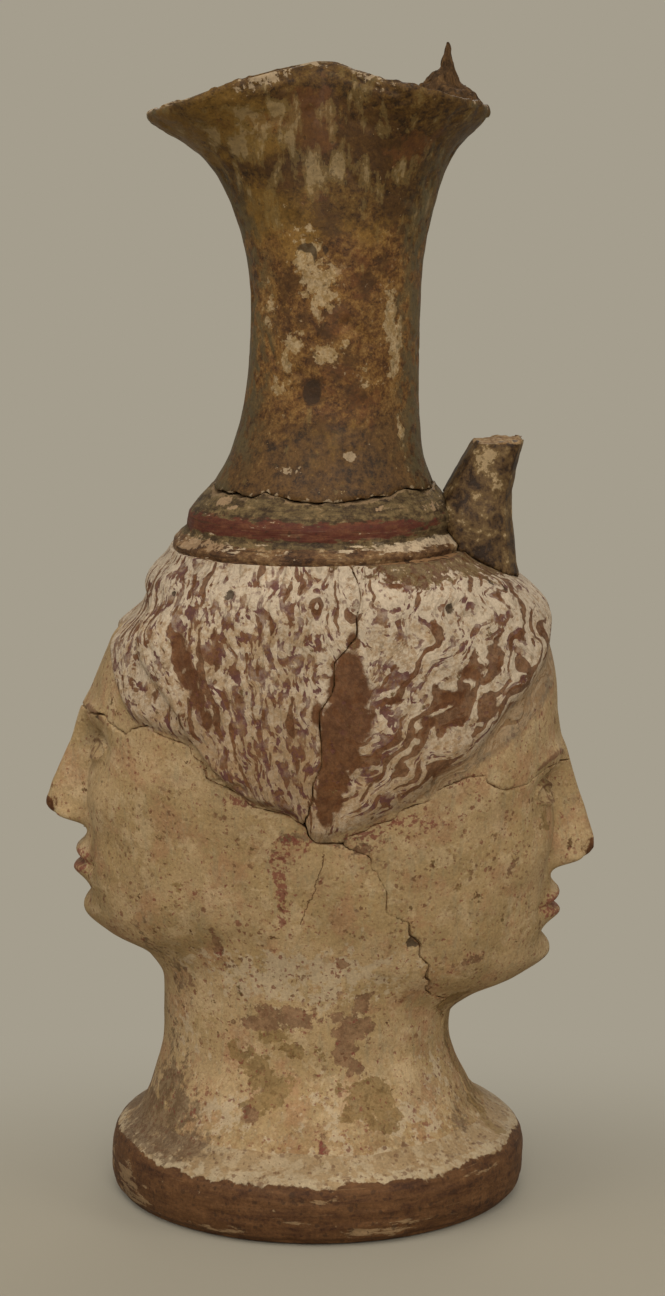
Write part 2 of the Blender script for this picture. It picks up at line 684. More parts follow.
def makeHeadsMaterial():
    # cream slip on the skin, whiter slip with painted locks on the hair, clay on the breaks
    skin = tones(
        cream=(164, 138, 100), light=(180, 156, 120), sallow=(150, 125, 86), grey=(136, 123, 94),
        rosy=(150, 112, 80), tan=(130, 99, 62), speck=(92, 58, 36), redSpeck=(110, 56, 42),
        pink=(126, 95, 68), pinkDark=(104, 75, 52), olive=(126, 101, 62), oliveDark=(98, 74, 38),
        white=(170, 150, 120), red=(110, 52, 44), line=(96, 62, 42), grime=(114, 94, 70),
        grimeDark=(84, 62, 42), hole=(58, 44, 30))
    locks = tones(
        white=(178, 160, 136), cream=(154, 129, 98), beige=(136, 107, 74), purple=(86, 50, 46),
        dash=(100, 65, 40), brown=(104, 68, 38), dark=(80, 48, 25), grey=(116, 100, 78), bare=(95, 60, 32))
    clay = tones(light=(146, 112, 76), dark=(108, 76, 48))
    glaze = stepped([(0.0, 80, 48, 25), (0.4, 96, 74, 44), (0.62, 104, 84, 52), (0.8, 154, 129, 98)])
    material, place, tooth, tint = newMaterial("slippedHeads")
    crisp = mottled(place, 2.0, (31, 7, 3))
    broad = noise(place, 0.09, 4, 0.55)

    low = ramp(heightOf(place), 26, 12)
    whitePatch = torn(place, "whiteSlip", 2.2, 0.75, 0.08)
    pinkMask = torn(place, "pink", 1.8, 0.75, 0.05)
    grimeTone = blend(ramp(crisp, 0.3, 0.75), skin["grimeDark"], skin["grime"])
    oliveTone = blend(ramp(crisp, 0.25, 0.6), skin["oliveDark"], skin["olive"])
    pinkTone = blend(ramp(crisp, 0.3, 0.7), skin["pinkDark"], skin["pink"])
    gathered = most(ramp(noise(place, 0.22, 4, 0.65), 0.44, 0.6, 0.2, 1.0), whitePatch)
    speckMask = most(specked(place, 4.4, 0.7, 0.2), specked(place, 1.9, 0.42, 0.36),
                     specked(place, 1.0, 0.34, 0.5)) * gathered
    speckTone = blend(ramp(broad, 0.4, 0.6), skin["speck"], skin["redSpeck"])
    colour = coated(
        blend(ramp(broad, 0.4, 0.6), skin["sallow"], skin["cream"]),
        (skin["rosy"], flecked(place, 7.0, 0.5, 0.12, (5, 60, 8)), 0.6),
        (skin["light"], flecked(place, 5.6, 0.52, 0.1, (2, 9, 4)), 0.5),
        (skin["light"], flecked(place, 1.7, 0.57, 0.06, (2, 9, 40)), 0.36),
        (skin["tan"], flecked(place, 2.8, 0.57, 0.08, (21, 4, 6)), 0.3),
        (skin["tan"], flecked(place, 0.9, 0.58, 0.06, (1, 44, 6)), 0.55),
        (skin["tan"], low * flecked(place, 1.6, 0.44, 0.08), 0.6),
        (skin["grey"], flecked(stretched(place, (1, 1, 0.16)), 1.3, 0.54, 0.08, (9, 3, 5)), 0.32),
        (skin["white"], whitePatch, 0.8),
        (grimeTone, torn(place, "grime", 1.8, 0.9, 0.16), 0.8),
        (oliveTone, torn(place, "olive", 2.8, 0.75, 0.035), 0.8),
        (pinkTone, pinkMask, 0.85),
        (skin["red"], torn(place, "red", 0.8, 1.3, 0.12), 0.75),
        (skin["line"], torn(place, "line", 1.0, 0.6, 0.15), 0.7),
        (speckTone, speckMask, 0.72))

    dashes, worms, scratches = use(strands, Strand=field(place, "strand", "Vector"), Vector=place,
                                   Wave=field(place, "wave"))
    chalk = calc("MULTIPLY_ADD", field(place, "powder"), 0.12, calc("MULTIPLY_ADD", crisp, 0.3, 0.36))
    dashMask = ramp(calc("MULTIPLY_ADD", field(place, "dashes"), 0.12, dashes), 0.616, 0.65)
    dashTone = blend(ramp(crisp, 0.35, 0.6), locks["dash"], locks["purple"])
    dashCover = ramp(noise(place, 0.4, 3, 0.6), 0.36, 0.56, 0.55, 0.95)
    flakeMask = ramp(calc("MULTIPLY_ADD", field(place, "flaked"), 0.23, worms), 0.655, 0.69)
    brownTone = blend(ramp(crisp, 0.3, 0.7), locks["dark"], locks["brown"])
    stripTone = coated(blend(ramp(scratches, 0.44, 0.54), locks["beige"], locks["cream"]),
                        (locks["grey"], flecked(place, 3.0, 0.5, 0.12, (8, 30, 2)), 0.7))
    bareMask = torn(place, "bare", 2.2, 0.26, 0.1)
    bareTone = blend(ramp(crisp, 0.3, 0.7), locks["dark"], locks["bare"])
    hairColour = coated(
        blend(ramp(chalk, 0.44, 0.62), locks["cream"], locks["white"]),
        (locks["beige"], field(place, "creamLocks"), 0.8),
        (locks["beige"], flecked(place, 1.6, 0.54, 0.06, (3, 30, 8)), 0.6),
        (locks["grey"], ramp(scratches, 0.53, 0.66), 0.5),
        (dashTone, dashMask, dashCover),
        (brownTone, flakeMask, 0.88),
        (stripTone, field(place, "strip"), 0.85),
        (bareTone, bareMask, 0.96),
        (locks["purple"], speckMask, 0.6))
    hairMask = torn(place, "hair", 1.6, 0.3, 0.2)

    strayed = (noise(place, 0.7, 4, 0.7) - 0.5) * 2.2
    crackMask = ramp(calc("ABSOLUTE", field(place, "hairline") + strayed), 0.15, 0.05)
    colour = coated(blend(hairMask, colour, hairColour),
                     (layTones(crisp, glaze), torn(place, "spill", 2.4, 1.0, 0.05), 0.9))
    colour = coated(blend(torn(place, "rubbed", 1.8, 0.4, 0.08), colour, brownTone),
                     (locks["dark"], crackMask, 0.85),
                     (skin["hole"], torn(place, "holes", 0.8, 0.4, 0.1), 0.85))
    chipped = use(edgeWear, Distance=field(place, "edge"), Vector=place, Width=0.25)
    bare = most(chipped * 0.6, ramp(field(place, "outer"), 0.6, 0.35))
    clayTone = blend(ramp(tint, 0.35, 0.65), clay["dark"], clay["light"])
    colour = blend(bare, toned(colour, tint, 0.76, 1.2), clayTone)

    hollows = most(flakeMask, bareMask, dashMask * 0.7) * hairMask
    hollows = most(hollows, pinkMask * 0.5) + speckMask * 0.5
    height = tooth * 0.6 - hollows * 0.6 + scratches * 0.9 * hairMask - crackMask
    rough = ramp(tint, 0.2, 0.8, 0.84, 0.68) - bareMask * hairMask * 0.12
    finishMaterial(colour, rough, height, 0.6, 0.28, 0.16)
    return material


def makeGlazeMaterial():
    # thin olive-brown glaze over cream slip, worn through in patches, on neck and mouth
    low = stepped([(0.0, 46, 31, 15), (0.28, 68, 46, 22), (0.42, 82, 57, 28), (0.58, 94, 67, 35),
                   (0.76, 114, 87, 50), (0.92, 140, 115, 80)], 0.015)
    middle = stepped([(0.0, 58, 35, 13), (0.27, 84, 54, 24), (0.42, 104, 72, 34), (0.56, 122, 89, 46),
                      (0.7, 140, 108, 64), (0.8, 164, 138, 98)], 0.015)
    upper = stepped([(0.0, 44, 28, 11), (0.26, 64, 43, 17), (0.4, 82, 57, 23), (0.56, 95, 70, 32),
                     (0.72, 108, 84, 44), (0.9, 136, 116, 82)], 0.02)
    marks = tones(
        streak=(148, 126, 90), pit=(44, 30, 16), rust=(96, 58, 28), light=(158, 137, 108),
        gold=(126, 94, 40), side=(84, 73, 47), run=(118, 97, 56), flake=(160, 138, 104),
        flakeEdge=(138, 112, 72), blot=(70, 46, 20))
    material, place, tooth, tint = newMaterial("wornGlaze", 0.55)
    level, crisp = mottled(place, 4.6), mottled(place, 1.25, (21, 5, 17))
    lift = field(place, "cream") * 0.2 - field(place, "dark") * 0.16
    both = level * 0.36 + crisp * 0.64 + (lift - 0.03)
    strayed = heightOf(place) + (noise(place, 0.1, 4, 0.55) - 0.5) * 18.0
    colour = blend(ramp(strayed, 136, 143), layTones(both, low), layTones(both, middle))
    colour = blend(ramp(strayed, 168, 174), colour, layTones(both, upper))

    flakeMask = torn(place, "cream", 1.5, 0.9, 0.05)
    flakeTone = blend(ramp(crisp, 0.3, 0.7), marks["flakeEdge"], marks["flake"])
    streak = noise(stretched(place, (0.34, 0.34, 0.14), (0, 0, 5)), 1.0, 6, 0.62, 0.3)
    streak = calc("MULTIPLY_ADD", field(place, "streaked"), 0.13, streak) - ramp(strayed, 176, 160, 0.0, 0.07)
    turned = calc("ABSOLUTE", made("ShaderNodeSeparateXYZ", "X", {0: coordinates(place.tree, "Normal")}))
    pits = specked(place, 1.4, 0.26, 0.5)
    rubbed = torn(place, "rubbed", 1.3, 0.8, 0.06)
    colour = coated(
        colour,
        (marks["gold"], torn(place, "gold", 4.0, 0.6, 0.25), 0.5),
        (marks["blot"], torn(place, "dark", 1.7, 0.9, 0.06), 0.6),
        (flakeTone, flakeMask, 0.85),
        (marks["rust"], torn(place, "rust", 3.0, 0.7, 0.12), 0.45),
        (marks["run"], ramp(streak, 0.56, 0.6), 0.4),
        (marks["streak"], ramp(streak, 0.63, 0.68), 0.45),
        (marks["side"], ramp(turned, 0.6, 0.92) * flecked(place, 3.0, 0.44, 0.1, (8, 8, 1)), 0.78),
        (marks["pit"], flecked(place, 1.1, 0.6, 0.04, (4, 50, 3)), 0.3),
        (marks["pit"], most(pits, specked(place, 0.8, 0.18, 0.5)), 0.45),
        (marks["pit"], torn(place, "stain", 1.1, 0.3, 0.08), 0.8),
        (marks["light"], rubbed, 0.8))
    worn = most(flakeMask, ramp(both, 0.72, 0.76))
    height = tooth * 0.6 - most(worn, pits) * 0.4
    rough = calc("ADD", ramp(level, 0.2, 0.8, 0.5, 0.66), most(worn, rubbed) * 0.2, clamp=True)
    finishMaterial(toned(colour, tint, 0.74, 1.22), rough, height, 0.6, 0.25)
    return material


def makeCollarMaterial():
    # olive glaze above, a sunk red band, and a white line over a rubbed brown edge
    glaze = stepped([(0.0, 44, 31, 17), (0.28, 66, 50, 29), (0.42, 86, 69, 42), (0.54, 102, 84, 54),
                     (0.66, 112, 90, 58), (0.8, 140, 119, 88)])
    edge = stepped([(0.0, 54, 34, 19), (0.3, 80, 54, 31), (0.46, 100, 72, 44), (0.58, 116, 88, 57),
                    (0.7, 142, 118, 86), (0.84, 164, 143, 113)])
    paint = tones(dark=(50, 35, 19), red=(80, 33, 22), redLight=(92, 47, 30), white=(176, 155, 126),
                  light=(152, 124, 92))
    material, place, tooth, tint = newMaterial("paintedCollar")
    sweep = stretched(place, (0.4, 0.4, 1.5))
    level, crisp = mottled(sweep, 2.6), mottled(place, 1.4, (5, 25, 7))
    turned = noise(stretched(place, (0.12, 0.12, 1.7)), 1.0, 7, 0.66, 0.3)
    along = mottled(stretched(place, (0.5, 0.5, 1), (3, 9, 11)), 3.0) * 0.7 + crisp * 0.3
    colour = blend(torn(place, "brownEdge", 1.8, 0.6, 0.1), layTones(level * 0.6 + crisp * 0.4, glaze),
                   layTones(along, edge))
    redTone = blend(ramp(level, 0.35, 0.7), paint["red"], paint["redLight"])
    chipped = use(edgeWear, Distance=field(place, "edge"), Vector=place, Width=0.3)
    worn = most(chipped * 0.5, torn(place, "rubbed", 1.2, 0.6, 0.06))
    colour = coated(
        colour,
        (redTone, torn(sweep, "redBand", 1.4, 0.6, 0.06), 0.82),
        (paint["light"], ramp(turned, 0.6, 0.66), 0.22),
        (paint["dark"], ramp(turned, 0.42, 0.36), 0.55),
        (paint["white"], torn(sweep, "whiteLine", 1.3, 1.0, 0.06), ramp(crisp, 0.3, 0.5, 0.4, 0.9)),
        (paint["dark"], specked(place, 1.4, 0.28, 0.5), 0.55),
        (paint["dark"], torn(place, "grime", 1.4, 0.9, 0.12), 0.7),
        (paint["light"], worn, 0.8))
    height = tooth * 0.5 + turned * 1.2 - worn * 0.4
    finishMaterial(toned(colour, tint, 0.76, 1.2), ramp(level, 0.3, 0.7, 0.6, 0.78), height, 0.65, 0.25)
    return material


def makeFootMaterial():
    # bare brown clay with brush streaks, and the slip that ran down over its upper edge
    bare = stepped([(0.0, 60, 36, 19), (0.24, 76, 48, 26), (0.4, 88, 58, 32), (0.58, 98, 66, 38),
                    (0.76, 110, 78, 48), (0.92, 136, 108, 76)], 0.08)
    clay = tones(
        cream=(150, 124, 90), slip=(148, 124, 90), white=(166, 147, 116), tan=(132, 104, 70),
        grime=(114, 94, 70), grimeDark=(88, 66, 46), pit=(54, 36, 22), speck=(92, 60, 40),
        olive=(126, 102, 62))
    material, place, tooth, tint = newMaterial("streakedFoot")
    sweep = stretched(place, (0.35, 0.35, 1.5))
    turned = noise(stretched(place, (0.09, 0.09, 1.4)), 1.0, 7, 0.66, 0.3)
    crisp = mottled(place, 1.6, (15, 2, 7))
    smear = torn(sweep, "smear", 1.6, 0.75, 0.08)
    slip = torn(place, "slip", 2.2, 0.8, 0.12)
    grimeTone = blend(ramp(crisp, 0.3, 0.75), clay["grimeDark"], clay["grime"])
    slipTone = coated(
        blend(torn(place, "white", 2.4, 1.0, 0.16), clay["slip"], clay["white"]),
        (clay["white"], flecked(place, 3.4, 0.5, 0.06, (3, 70, 6)), 0.6),
        (clay["tan"], flecked(place, 2.6, 0.54, 0.05, (2, 7, 60)), 0.55),
        (clay["speck"], flecked(place, 1.2, 0.6, 0.05, (6, 20, 3)), 0.4),
        (clay["olive"], torn(place, "olive", 2.8, 0.75, 0.035), 0.8),
        (grimeTone, torn(place, "grime", 1.8, 0.9, 0.16), 0.85))
    pits = most(specked(place, 1.9, 0.46, 0.42), specked(place, 1.0, 0.34, 0.5))
    colour = coated(
        layTones(mottled(sweep, 3.2) * 0.6 + crisp * 0.4, bare),
        (clay["cream"], smear, 0.6),
        (clay["cream"], ramp(turned, 0.63, 0.7), 0.3),
        (slipTone, slip, 0.94),
        (blend(slip, clay["pit"], clay["speck"]), pits, 0.6))
    height = tooth * 0.6 + turned * 0.6 + most(slip, smear) * 0.3
    finishMaterial(toned(colour, tint, 0.76, 1.2), ramp(turned, 0.3, 0.7, 0.62, 0.8), height, 0.6, 0.25)
    return material


def makeClayMaterial(name, light, dark, grit, streakCover):
    # unglazed clay, for what lies inside the jug
    material, place, tooth, tint = newMaterial(name, grit)
    bits = specked(place, 1.5, 0.3, 0.4)
    colour = coated(blend(ramp(tint, 0.36, 0.64), dark, light),
                     (light, use(brushStreaks, Vector=place, Cover=streakCover), 0.35),
                     (dark, bits, 0.6))
    finishMaterial(colour, ramp(tint, 0.3, 0.7, 0.86, 0.74), tooth + bits * 0.5, 0.6, 0.35, 0.3)
    return material


def makeStumpMaterial(name, flank, raw):
    # a stump keeps flaked glaze on its flanks and raw clay where it snapped
    material, place, tooth, tint = newMaterial(name)
    level = mottled(place, 3.6)
    splinters = noise(stretched(place, (1.1, 1.1, 0.2)), 1.0, 7, 0.7, 0.4)
    snapped = torn(place, "snapped", 1.6, 0.5, 0.1)
    colour = blend(snapped, layTones(level + field(place, "flaked") * 0.3, flank), layTones(splinters, raw))
    colour = coated(colour, (tone(52, 36, 22), specked(place, 1.4, 0.28, 0.45), 0.6))
    height = tooth * 0.6 + splinters * snapped * 1.6
    rough = ramp(level, 0.3, 0.7, 0.5, 0.62) + snapped * 0.24
    finishMaterial(toned(colour, tint, 0.82, 1.16), rough, height, 0.75, 0.35)
    return material


headsFinish, glazeFinish = makeHeadsMaterial(), makeGlazeMaterial()
collarFinish, footFinish = makeCollarMaterial(), makeFootMaterial()
stumpFinish = makeStumpMaterial(
    "snappedHandle",
    stepped([(0.0, 44, 29, 15), (0.3, 68, 48, 26), (0.46, 88, 66, 38), (0.62, 104, 82, 50),
             (0.78, 150, 127, 92)]),
    [(0.2, 66, 44, 24), (0.38, 104, 74, 44), (0.5, 142, 112, 76), (0.64, 172, 148, 110)])
spurFinish = makeStumpMaterial(
    "splinteredSpur",
    stepped([(0.0, 40, 25, 13), (0.35, 66, 43, 23), (0.55, 90, 62, 35), (0.7, 126, 100, 66),
             (0.85, 150, 124, 90)]),
    [(0.25, 30, 20, 9), (0.45, 60, 41, 20), (0.6, 88, 62, 33), (0.8, 134, 106, 68)])
innerFinish = makeClayMaterial("bareClay", tone(148, 112, 74), tone(112, 78, 48), 0.6, 0.35)
rollFinish = makeClayMaterial("pressedClay", tone(142, 106, 70), tone(104, 72, 44), 0.8, 0.2)
print("materials made")


# The sherds of the two heads

sherds = {
    # piece, solid, slot and size of its fine grid
    "pieces": [
        ("leftCrownSherd", "left_crown", "hair_slip", 0.5),
        ("rightCrownSherd", "right_crown", "hair_slip", 0.5),
        ("leftFaceSherd", "left_face", "cream_slip", 0.64),
        ("rightFaceSherd", "right_face", "cream_slip", 0.5)],
    "unevenness": 0.16, "bareDepth": 0.2, "chipDepth": 0.36, "tornGrain": 0.18, "boxMargin": 0.05,
    "lockSway": 1.6, "lockShake": 0.7, "closing": 0.17, "closingSway": 0.1, "faceClosing": 0.12,
    # degrees round, height, half width, half height and strength; a pit has its size and depth
    "pits": [
        (241, 111.5, 0.75, 0.6), (312, 109.1, 0.75, 0.7), (306.3, 50.2, 1, 0.8), (218, 110.6, 0.45, 0.4),
        (331, 112.2, 0.4, 0.4), (335, 111, 0.45, 0.4), (198, 88, 0.7, 0.5)],
    "bare": withFarSide([
        (282, 104.2, 1.4, 2, 0.8), (280.6, 99.6, 2.4, 3, 1), (280.4, 95.6, 3.6, 3.6, 1.1),
        (279.6, 90.6, 4.2, 4, 1.1), (277.6, 85.6, 3.4, 4, 1.1), (275.8, 81, 2.7, 3.6, 1.05),
        (274.6, 77.4, 2.2, 3.2, 1), (273.4, 74.4, 1.6, 2.6, 0.85), (270.6, 92, 1.4, 3.2, 0.8),
        (227.6, 103.4, 1.7, 2, 0.78), (229.4, 100.6, 1.8, 2.2, 0.84), (232.4, 97.4, 1.8, 2.2, 0.86),
        (235, 94.2, 1.7, 2.4, 0.84), (238, 90.8, 1.3, 2, 0.78), (315.6, 98.2, 2.6, 1.6, 0.8),
        (309.6, 94.2, 2.6, 1.5, 0.8), (303, 90.6, 1.8, 1.4, 0.72)], 9, 2.5),
    "flaked": withFarSide([
        (227, 103.3, 2.6, 3.2, 1.1), (231, 99.6, 2.6, 3.6, 1.15), (235, 95, 2.4, 4.4, 1.1),
        (240, 90.8, 2, 3, 0.95), (277, 107.6, 3.6, 2.2, 0.85), (306.6, 105.5, 2.6, 1.6, 0.95),
        (317, 98.8, 4.4, 2.4, 1.25), (311, 94.6, 5, 2.8, 1.25), (325, 99.6, 4, 3, 1), (330, 95.4, 4, 3, 1),
        (306, 91.4, 4, 3, 1.05), (299, 88.8, 2.8, 4.4, 1.1), (311, 88, 4.4, 2.4, 1), (320, 91.4, 5, 2.4, 1.1),
        (338, 102, 5, 3, 0.85), (298, 82.4, 3, 3.4, 0.9), (336, 107, 4, 2.4, 0.7), (306, 83.2, 4, 2, 0.8),
        (200, 108, 5, 4, 0.6)], -6, -1.5),
    "dashes": withFarSide([
        (216, 111, 6, 5, 0.9), (227, 108.6, 5, 4, 0.9), (240, 103, 6, 7, 0.95), (252, 106, 7, 7, 0.8),
        (262, 109, 4, 6, 1), (247, 94, 7, 8, 0.9), (258, 99, 7, 8, 0.9), (268, 102, 4, 6, 0.8),
        (252, 84, 7, 6, 0.95), (264, 84, 5, 7, 0.9), (263, 91, 5, 5, 0.7), (247, 79.6, 5, 3, 1.1),
        (257, 75.2, 6, 2.4, 1.1), (292.8, 97.4, 3.6, 2.8, 1.3), (291, 92.8, 3.4, 3, 1.25),
        (289, 88.2, 3, 2.8, 1.1), (286.5, 80.4, 3, 2, 0.9), (300, 108, 5, 4, 0.6), (312, 104, 6, 4, 0.5),
        (320, 106, 6, 4, 0.55), (210, 100, 6, 7, 0.6), (292, 76, 5, 2, 0.8)], 5, 1),
    "pink": withFarSide([
        (251.5, 37.2, 5, 1.5, 0.95), (260.5, 36.6, 4, 1.8, 0.95), (244, 35.2, 3.6, 1.4, 0.9),
        (290, 38.8, 1.9, 1.9, 0.95), (286.6, 34.4, 3.4, 2.4, 1), (282.6, 30.4, 2, 3, 0.95),
        (286, 27.4, 1.7, 1.8, 0.9), (279, 36.6, 1.2, 1, 0.75), (245.6, 19.6, 1.7, 1.5, 0.85),
        (271.8, 15.8, 0.8, 2.2, 0.8), (300, 14.6, 0.9, 0.9, 0.8), (231, 49, 1.1, 3.4, 0.82),
        (263.6, 43.8, 1.1, 0.8, 0.8), (326, 45.6, 2.6, 1, 0.85), (333, 63, 1.2, 2.8, 0.62),
        (287, 68.4, 2.4, 1.6, 0.6), (281, 46.6, 2.2, 1, 0.72), (212, 40.5, 0.9, 2.4, 0.6)], 12, -1),
    "olive": withFarSide([
        (250, 33.2, 3.4, 1.5, 0.85), (261, 30.8, 3.4, 1.4, 0.8), (236, 29.6, 2.4, 2.6, 0.8),
        (246, 26.2, 3.2, 2.8, 0.92), (254.6, 24, 3, 2.4, 0.9), (248, 21.4, 3.4, 2, 0.8),
        (291, 22.4, 4.6, 3.8, 0.95), (297, 19.2, 3.4, 2.2, 0.85), (283, 20.6, 2.4, 2.2, 0.7),
        (358, 23, 2.2, 5, 1), (353, 18.8, 2.2, 2.8, 1), (347, 15.6, 2, 2.2, 0.95), (2, 30, 2.2, 6, 1),
        (343, 13.3, 1.8, 1.6, 0.9), (334, 36.6, 2.4, 2.6, 0.8), (346, 76, 3, 3, 0.7), (344, 69, 2, 3, 0.6),
        (222, 60, 2.6, 1.6, 0.5), (316, 58.6, 2.6, 2.4, 0.4)], -10, 1.5),
    "red": withFarSide([
        (256.4, 63.2, 1.2, 1.6, 0.9), (257.6, 59.4, 0.9, 3.2, 0.95), (257.2, 54.8, 0.6, 1.8, 0.8),
        (262, 69, 4, 1.3, 0.55), (247, 76.4, 3.6, 0.9, 0.7), (287, 70.4, 3, 1, 0.7), (230, 46, 0.6, 2.6, 0.5),
        (271.8, 15.2, 0.6, 2.2, 0.8), (300, 72.4, 6, 1.3, 0.42), (258, 66.6, 2.2, 1.2, 0.66),
        (316, 79.6, 1.6, 1, 0.6)], 7, 0.5),
    "whiteSlip": withFarSide([
        (262, 44, 22, 5, 0.7), (244, 13, 24, 2.4, 0.6), (300, 13.4, 30, 2.4, 0.6), (262, 16.5, 20, 3, 0.32),
        (236, 19, 6, 4, 0.6), (276, 21, 6, 5, 0.5), (308, 18, 8, 4, 0.6), (210, 30, 6, 7, 0.45),
        (330, 24, 5, 6, 0.5), (290, 48, 10, 5, 0.3)], 0, 0),
    "grime": withFarSide([
        (213.6, 18, 5, 3.6, 1), (200.6, 14.4, 8, 4.4, 1.1), (225, 13.6, 5.4, 2.4, 0.9),
        (216, 13, 6, 2.4, 0.9), (203, 21.6, 4.4, 5, 0.85), (200, 28, 3, 7, 0.5), (190, 16, 8, 5, 0.7),
        (330, 16, 4, 3, 0.5), (284, 68.6, 5, 2, 0.6), (268, 70, 6, 1.4, 0.5), (205, 44, 3, 8, 0.45)], 6, 0),
    "hairline": [(54.2, 264), (58.8, 267.8), (62.5, 270.7), (66.6, 273)], "hairlineEnds": (54.2, 67.0),
    "hairTop": [
        (0, 111.5), (40, 113), (90, 115.6), (140, 116), (180, 117), (230, 118), (270, 117), (288, 115.6),
        (299, 113.6), (306, 112.2), (318, 114.4), (328, 113.2), (338, 113)],
}
hairTopHeight = aroundCurve(sherds["hairTop"])


def faceLines(angle, height):
    # brows, lids and eyes, lips, and the rubbed tips of nose, chin and forehead
    side, up = facePlace(angle, height, bodyRadius(angle, height))
    wide, front = np.abs(side), np.abs(np.cos(angle)) > 0.5
    upper, lower, inside = eyeLines(side)
    brow = bell(up - browLine(wide), 0.035) * smooth(0.84, 0.72, wide) * smooth(0.12, 0.2, wide)
    lid = np.maximum(bell(up - upper, 0.02), 0.7 * bell(up - lower, 0.016)) * inside
    iris = np.hypot(wide - face["eye"]["across"], up - face["iris"]["up"])
    ring = np.maximum(bell(iris - face["iris"]["radius"], 0.014), bell(iris, 0.03))
    ring = ring * (up < upper) * (up > lower)
    lips = np.sqrt(arch(side, face["mouth"]["half"])) * smooth(0.13, 0.09, np.abs(up - face["mouth"]["up"]))
    rubbed = [bell(wide, halfWidth) * bell(up - level, halfHeight) * strength
              for halfWidth, level, halfHeight, strength in face["rubbed"]]
    line = np.maximum.reduce([brow * 0.75, lid * 0.85, ring * 0.8])
    return line * front, lips * front * 0.72, np.maximum.reduce(rubbed) * front


def paintSherd(mesh, angle, height, radius, outer, edge):
    degrees, isRight = degreesOf(angle), np.cos(angle) > 0
    line, mass, quarter = hairField(angle)
    shift = np.where(np.sin(angle) < 0, 0.0, 60.0)  # the far side has locks of its own
    strand = np.column_stack((*strandPlace(angle, height), shift))
    layer = mesh.attributes.new("strand", "FLOAT_VECTOR", "POINT")
    layer.data.foreach_set("vector", strand.astype(np.float32).ravel())

    painted = np.where(isRight, hairHeight("rightPaint", quarter), line)
    strip = smooth(mass + 2.6, mass - 0.4, height) * (height > painted - 2) * isRight
    toFace = smooth(0.5, 0.9, np.abs(np.cos(angle)))
    powder = smooth(104, 113, height) + 0.5 * toFace + 0.4 * isRight * smooth(78, 92, height)
    spots = {key: spotField(angle, height, radius, sherds[key])
             for key in ("bare", "flaked", "dashes", "pink", "olive", "whiteSlip", "grime")}
    holes = [(turn, level, size, size, 1.1) for turn, level, size, depth in sherds["pits"]]
    low, high = sherds["hairlineEnds"]
    crack = np.radians(degrees - np.interp(height, *np.array(sherds["hairline"]).T)) * radius
    beyond = np.maximum(np.maximum(height - high, low - height), 0)
    lines, lips, rubbed = faceLines(angle, height)
    keepFields(
        mesh, hair=0.5 + (height - painted - 0.6) / 3.2, strip=strip, powder=powder, outer=outer, edge=edge,
        wave=mix(0.55, 1.0, smooth(-0.12, 0.12, np.cos(angle))), line=lines, rubbed=rubbed, **spots,
        red=np.maximum(spotField(angle, height, radius, sherds["red"]), lips),
        spill=np.clip(0.5 + (height - hairTopHeight(degrees)) / 3.4, 0, 0.85),
        creamLocks=0.7 * smooth(98, 84, height) * np.where(isRight, 0.5, 1),
        holes=spotField(angle, height, radius, holes), hairline=crack + np.sign(crack) * beyond * 3)


def edgeDistance(points, rim, outer):
    # how far each point of the outer skin is from the broken or luted edges
    tree = KDTree(len(rim))
    for i, index in enumerate(rim):
        tree.insert(points[index], i)
    tree.balance()
    edge = np.full(len(points), 9.0)
    if len(rim):
        for index in np.flatnonzero(outer > 0.05):
            edge[index] = tree.find(points[index])[2]
    return edge


